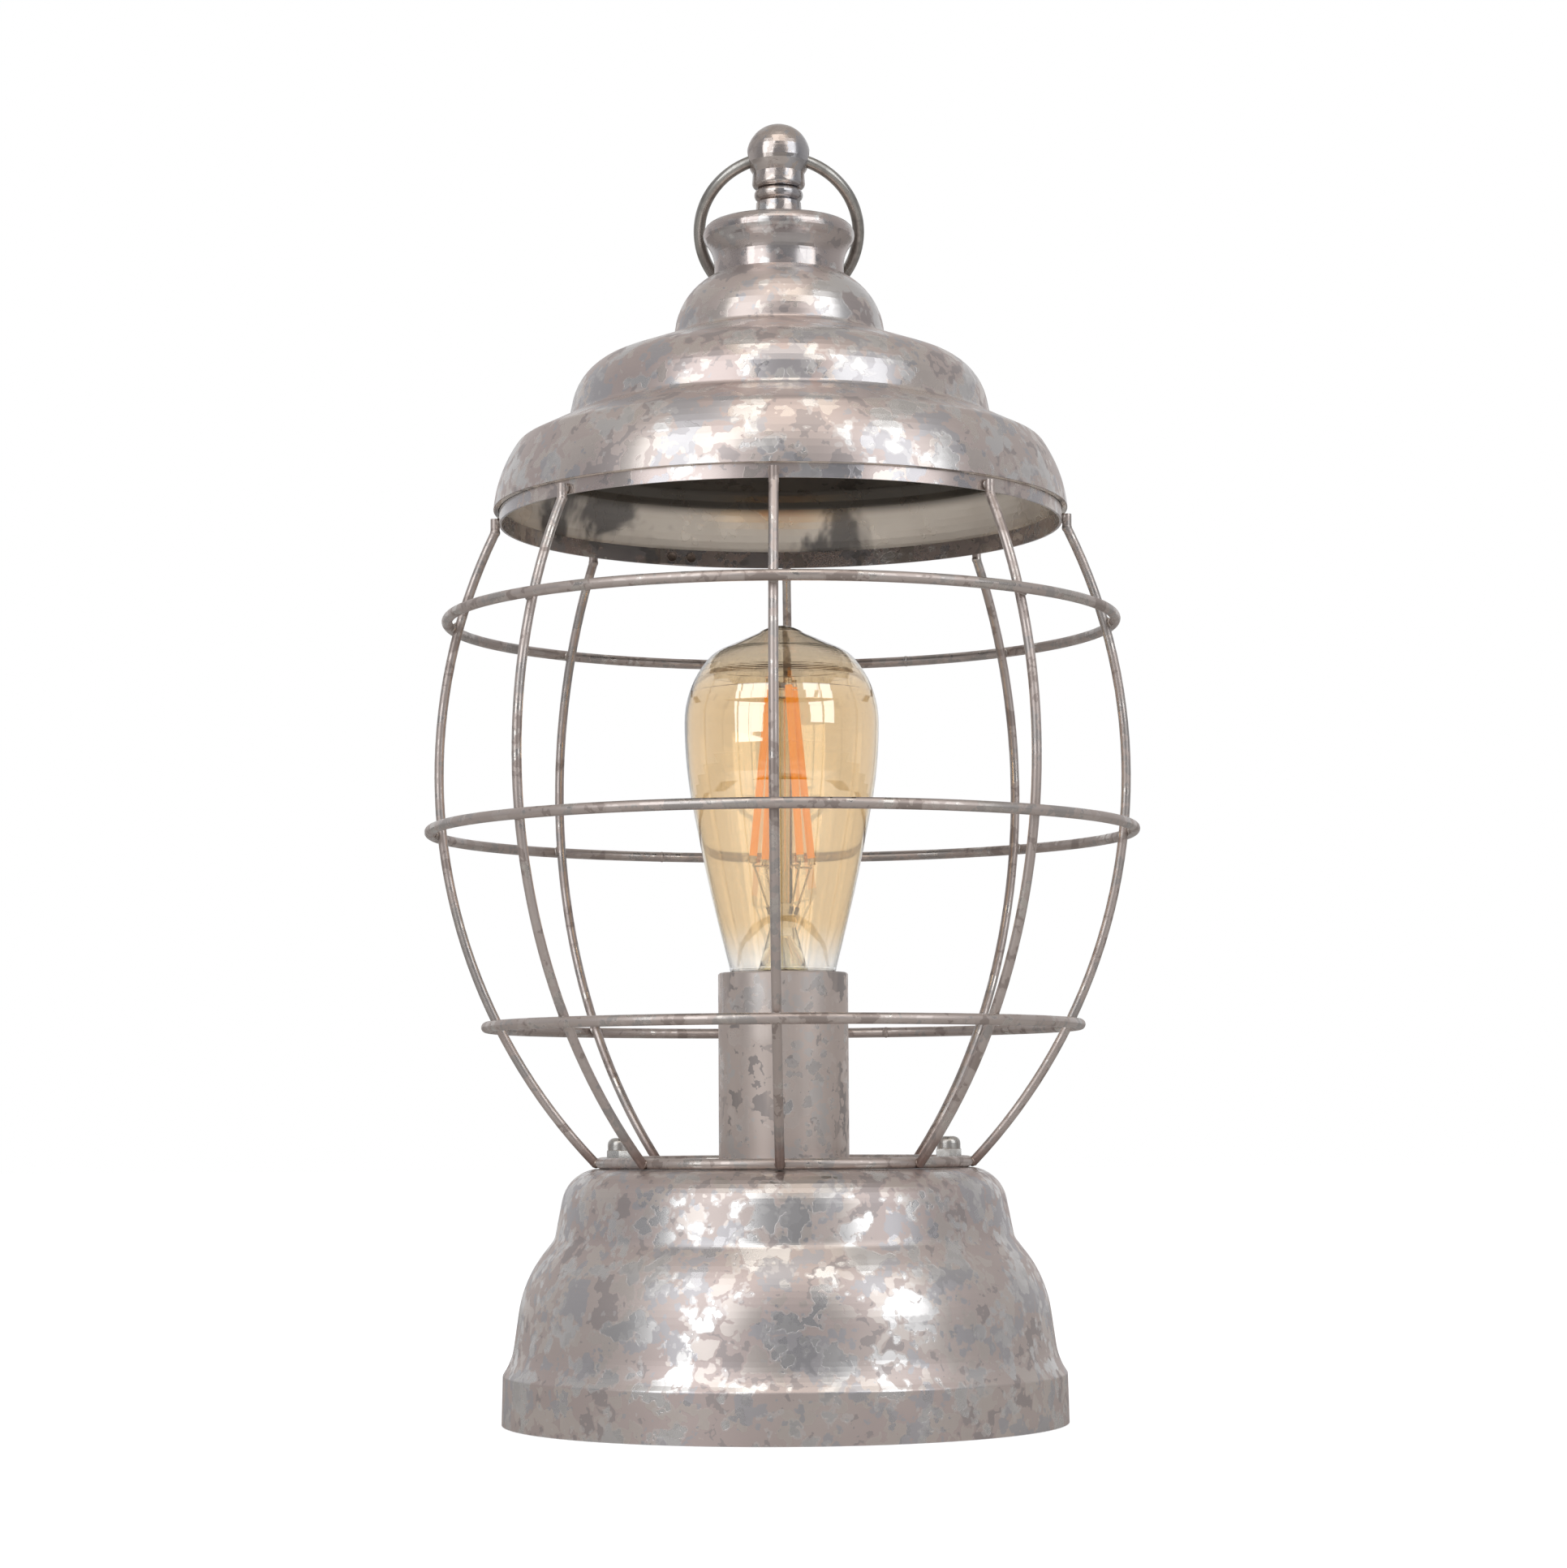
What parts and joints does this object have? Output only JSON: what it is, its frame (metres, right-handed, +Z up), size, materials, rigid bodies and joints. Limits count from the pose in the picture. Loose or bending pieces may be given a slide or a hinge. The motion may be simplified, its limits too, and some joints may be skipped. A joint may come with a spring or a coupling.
{
  "type": "caged lantern table lamp",
  "caption": "Lantern-style table lamp with a spun bell base, a bowed wire cage around a pear bulb, a stepped spun lid, a turned finial and a swinging carry ring.",
  "frame": {"origin": "on the surface the lamp stands on, under the middle of the base", "axes": "+Z up along the lamp, +Y to the back where the cord leaves, +X to the right seen from the front"},
  "size_m": [0.2356, 0.2356, 0.4314],
  "materials": {
    "galvanised_sheet": "spun sheet steel with a mottled hot-dip galvanised skin, worn satin",
    "galvanised_lid": "spun sheet steel with a mottled galvanised skin, bright highlights",
    "galvanised_tube": "galvanised tube, darker and streaked",
    "galvanised_wire": "galvanised wire, drawn and spot welded",
    "galvanised_strap": "flat galvanised strip",
    "turned_finial": "turned metal, satin and a little tarnished",
    "ring_wire": "round wire, tarnished",
    "bright_nut": "bright zinc plated cap nut",
    "zinc_plate": "plain zinc plate",
    "cast_iron": "plain cast iron",
    "black_rubber": "moulded black rubber",
    "brass": "plain brass",
    "lampholder_moulding": "heat resistant moulding",
    "nickel_cap": "nickel plated screw cap",
    "black_insulator": "black glass insulator",
    "solder": "solder tipped contact",
    "amber_glass": "thin amber tinted glass, clear at the neck",
    "clear_glass": "clear drawn glass",
    "filament_coating": "orange coated filament rods, unlit",
    "nickel_wire": "fine nickel wire"
  },
  "bodies": {
    "lamp": {"base_shell": "galvanised_sheet", "base_plate": "zinc_plate", "base_weight": "cast_iron", "weight_screws": "zinc_plate", "cord_grommet": "black_rubber", "nipple": "brass", "nipple_nuts": "brass", "nipple_washers": "zinc_plate", "socket_tube": "galvanised_tube", "lampholder_body": "lampholder_moulding", "lampholder_shell": "brass", "lampholder_contact": "brass", "cage_foot_ring": "galvanised_wire", "cage_tabs": "galvanised_wire", "cage_bolts": "zinc_plate", "cage_washers": "zinc_plate", "cap_nuts": "bright_nut", "rib_1": "galvanised_wire", "rib_2": "galvanised_wire", "rib_3": "galvanised_wire", "rib_4": "galvanised_wire", "rib_5": "galvanised_wire", "rib_6": "galvanised_wire", "rib_7": "galvanised_wire", "rib_8": "galvanised_wire", "hoop_lower": "galvanised_wire", "hoop_middle": "galvanised_wire", "hoop_upper": "galvanised_wire", "cage_strap": "galvanised_strap", "lid_canopy": "galvanised_lid", "lid_chimney": "galvanised_lid", "finial": "turned_finial", "finial_stud": "zinc_plate", "finial_nut": "zinc_plate", "finial_washer": "zinc_plate"},
    "bulb_foot": {"bulb_eyelet": "solder"},
    "bulb": {"bulb_cap": "nickel_cap", "bulb_insulator": "black_insulator", "bulb_glass": "amber_glass", "bulb_stem": "clear_glass", "bulb_filaments": "filament_coating", "bulb_wires": "nickel_wire"},
    "carry_ring": {"carry_ring": "ring_wire"}
  },
  "joints": [
    {"name": "bulb_lift", "type": "slide", "parent": "lamp", "child": "bulb_foot", "axis": [0, 0, 1], "range_m": [0, 0.0236]},
    {"name": "bulb_turn", "type": "hinge", "parent": "bulb_foot", "child": "bulb", "pos_m": [0, 0, 0.1164], "axis": [0, 0, 1], "range_deg": [0, 2340]},
    {"name": "carry_ring_swing", "type": "hinge", "parent": "lamp", "child": "carry_ring", "pos_m": [0, 0, 0.41939], "axis": [1, 0, 0], "range_deg": [0, 290]}
  ],
  "couplings": [
    {"joint": "bulb_lift", "follows": "bulb_turn", "m_per_rad": 0.00057757}
  ]
}
